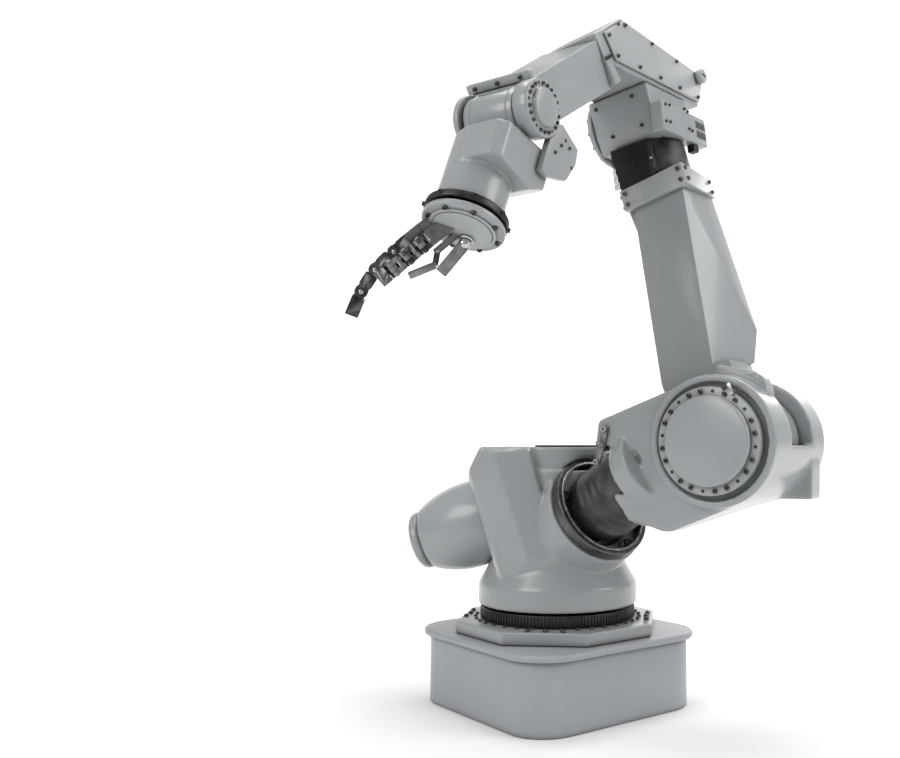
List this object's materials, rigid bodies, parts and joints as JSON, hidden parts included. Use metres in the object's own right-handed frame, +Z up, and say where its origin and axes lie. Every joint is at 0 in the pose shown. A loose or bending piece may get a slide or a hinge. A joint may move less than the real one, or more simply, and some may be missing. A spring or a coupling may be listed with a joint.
{
  "type": "industrial robot arm",
  "caption": "Jointed industrial robot arm on a square plinth, with a slewing turret, slanted shoulder, forked elbow, upper arm, drooping forearm, wrist and fingered hand.",
  "frame": {"origin": "centre of the plinth's underside, on the slewing axis", "axes": "+Z up along the slewing axis, +X forward under the shoulder axis"},
  "size_m": [0.8766, 0.9259, 1.4009],
  "materials": {
    "grey": "gloss",
    "pale": "satin",
    "dark": "satin",
    "steel": "brushed",
    "panel": "ribbed",
    "hand": "satin"
  },
  "bodies": {
    "base": {"plinth_box": "pale", "plinth_top_plate": "pale", "foot_plate": "grey", "slew_ring": "dark"},
    "turret": {"turret_casting": "grey", "turret_top_cover": "dark", "gear_housing": "grey", "motor_cover": "grey", "motor_cap": "grey", "shoulder_ring": "dark", "bearing_lugs": "steel"},
    "elbow_link": {"shoulder_shaft": "steel", "elbow_fork": "grey", "elbow_flange": "grey", "elbow_cover": "grey", "elbow_far_cover": "grey", "elbow_pin": "steel", "cable_bracket": "grey"},
    "arm": {"upper_arm": "grey", "upper_arm_flange": "pale"},
    "head": {"roll_drum": "steel", "roll_panel": "panel", "head_housing": "grey", "head_disc": "grey", "head_motor_box": "pale", "upper_housing": "grey", "side_cover": "pale", "vent_knob": "pale", "forearm_flange": "grey", "forearm_box": "grey", "forearm_end_plate": "pale", "wrist_drum": "grey"},
    "wrist": {"wrist_bell": "grey", "wrist_disc": "grey", "wrist_far_disc": "grey", "wrist_clamp_lug": "grey", "tool_ring": "dark"},
    "tool": {"tool_flange": "pale", "palm": "hand", "thumb": "hand", "lower_finger": "hand", "front_finger_1": "hand", "rear_finger_1": "hand"},
    "front_link_2": {"front_finger_2": "hand"},
    "front_link_3": {"front_finger_3": "hand"},
    "front_link_4": {"front_finger_4": "hand"},
    "rear_link_2": {"rear_finger_2": "hand"},
    "rear_link_3": {"rear_finger_3": "hand"},
    "rear_link_4": {"rear_finger_4": "hand"}
  },
  "joints": [
    {"name": "base_slew", "type": "hinge", "parent": "base", "child": "turret", "pos_m": [0, 0, 0.183], "axis": [0, 0, 1], "range_deg": [-170, 170]},
    {"name": "shoulder_roll", "type": "hinge", "parent": "turret", "child": "elbow_link", "pos_m": [0.154, 0, 0.428], "axis": [0.866, 0, 0.5], "range_deg": [-90, 90]},
    {"name": "elbow_pitch", "type": "hinge", "parent": "elbow_link", "child": "arm", "pos_m": [0.417, 0.135, 0.56], "axis": [-0.3502, 0.9367, 0], "range_deg": [-10, 60]},
    {"name": "arm_roll", "type": "hinge", "parent": "arm", "child": "head", "pos_m": [0.26337, 0.07756, 1.09649], "axis": [0.2739, 0.1024, -0.9563], "range_deg": [-150, 150]},
    {"name": "wrist_pitch", "type": "hinge", "parent": "head", "child": "wrist", "pos_m": [0.33615, -0.39459, 1.11243], "axis": [-0.9544, -0.2985, -0.0051], "range_deg": [-35, 60]},
    {"name": "tool_roll", "type": "hinge", "parent": "wrist", "child": "tool", "pos_m": [0.36211, -0.47414, 0.9133], "axis": [0.1202, -0.3683, -0.9219], "range_deg": [-175, 175]},
    {"name": "front_knuckle_1", "type": "hinge", "parent": "tool", "child": "front_link_2", "pos_m": [0.31717, -0.52738, 0.87779], "axis": [-0.1545, -0.6723, 0.724], "range_deg": [0, 20]},
    {"name": "front_knuckle_2", "type": "hinge", "parent": "front_link_2", "child": "front_link_3", "pos_m": [0.30228, -0.5448, 0.85843], "axis": [-0.1545, -0.6723, 0.724], "range_deg": [0, 20]},
    {"name": "front_knuckle_3", "type": "hinge", "parent": "front_link_3", "child": "front_link_4", "pos_m": [0.28829, -0.5627, 0.83883], "axis": [-0.1545, -0.6723, 0.724], "range_deg": [0, 20]},
    {"name": "rear_knuckle_1", "type": "hinge", "parent": "tool", "child": "rear_link_2", "pos_m": [0.26653, -0.55005, 0.87217], "axis": [-0.8364, 0.479, 0.2663], "range_deg": [0, 20]},
    {"name": "rear_knuckle_2", "type": "hinge", "parent": "rear_link_2", "child": "rear_link_3", "pos_m": [0.24444, -0.57225, 0.8427], "axis": [-0.8364, 0.479, 0.2663], "range_deg": [0, 20]},
    {"name": "rear_knuckle_3", "type": "hinge", "parent": "rear_link_3", "child": "rear_link_4", "pos_m": [0.22476, -0.587, 0.80743], "axis": [-0.8364, 0.479, 0.2663], "range_deg": [0, 20]}
  ],
  "couplings": [
    {"joint": "front_knuckle_2", "follows": "front_knuckle_1", "ratio": 1},
    {"joint": "front_knuckle_3", "follows": "front_knuckle_1", "ratio": 1},
    {"joint": "rear_knuckle_1", "follows": "front_knuckle_1", "ratio": 1},
    {"joint": "rear_knuckle_2", "follows": "front_knuckle_1", "ratio": 1},
    {"joint": "rear_knuckle_3", "follows": "front_knuckle_1", "ratio": 1}
  ]
}
